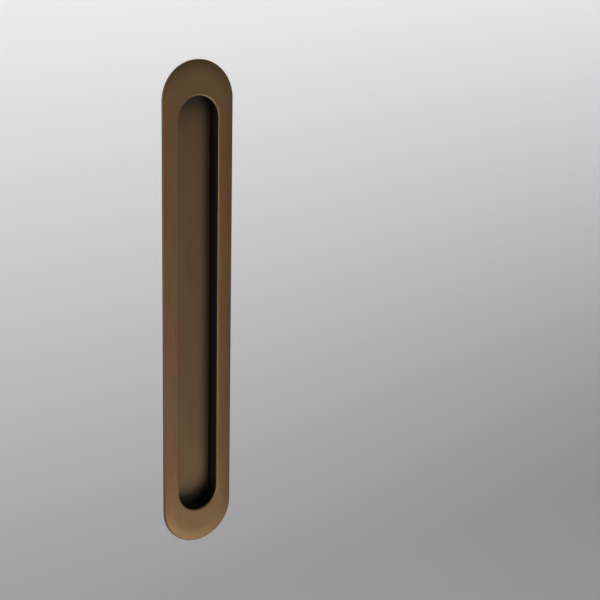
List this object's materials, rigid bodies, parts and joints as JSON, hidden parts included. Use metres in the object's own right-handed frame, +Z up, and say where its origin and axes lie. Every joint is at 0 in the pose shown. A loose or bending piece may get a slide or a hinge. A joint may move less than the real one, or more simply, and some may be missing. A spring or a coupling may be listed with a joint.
{
  "type": "flush pull",
  "caption": "Long flush pull with round ends: a softly crowned face plate with a round-ended mouth, and a straight-sided recess pan brazed into the plate's back, let into the face of a sliding door.",
  "frame": {"origin": "middle of the face plate's back, on the face of the door that it seats on", "axes": "+Z up along the pull's length, +Y through the door's face into its pocket, +X across the pull to the right as seen from the front"},
  "size_m": [0.047, 0.012, 0.3],
  "materials": {
    "brushed_bronze": "satin"
  },
  "bodies": {
    "root": {"face_plate": "brushed_bronze", "recess_pan": "brushed_bronze"}
  },
  "joints": []
}
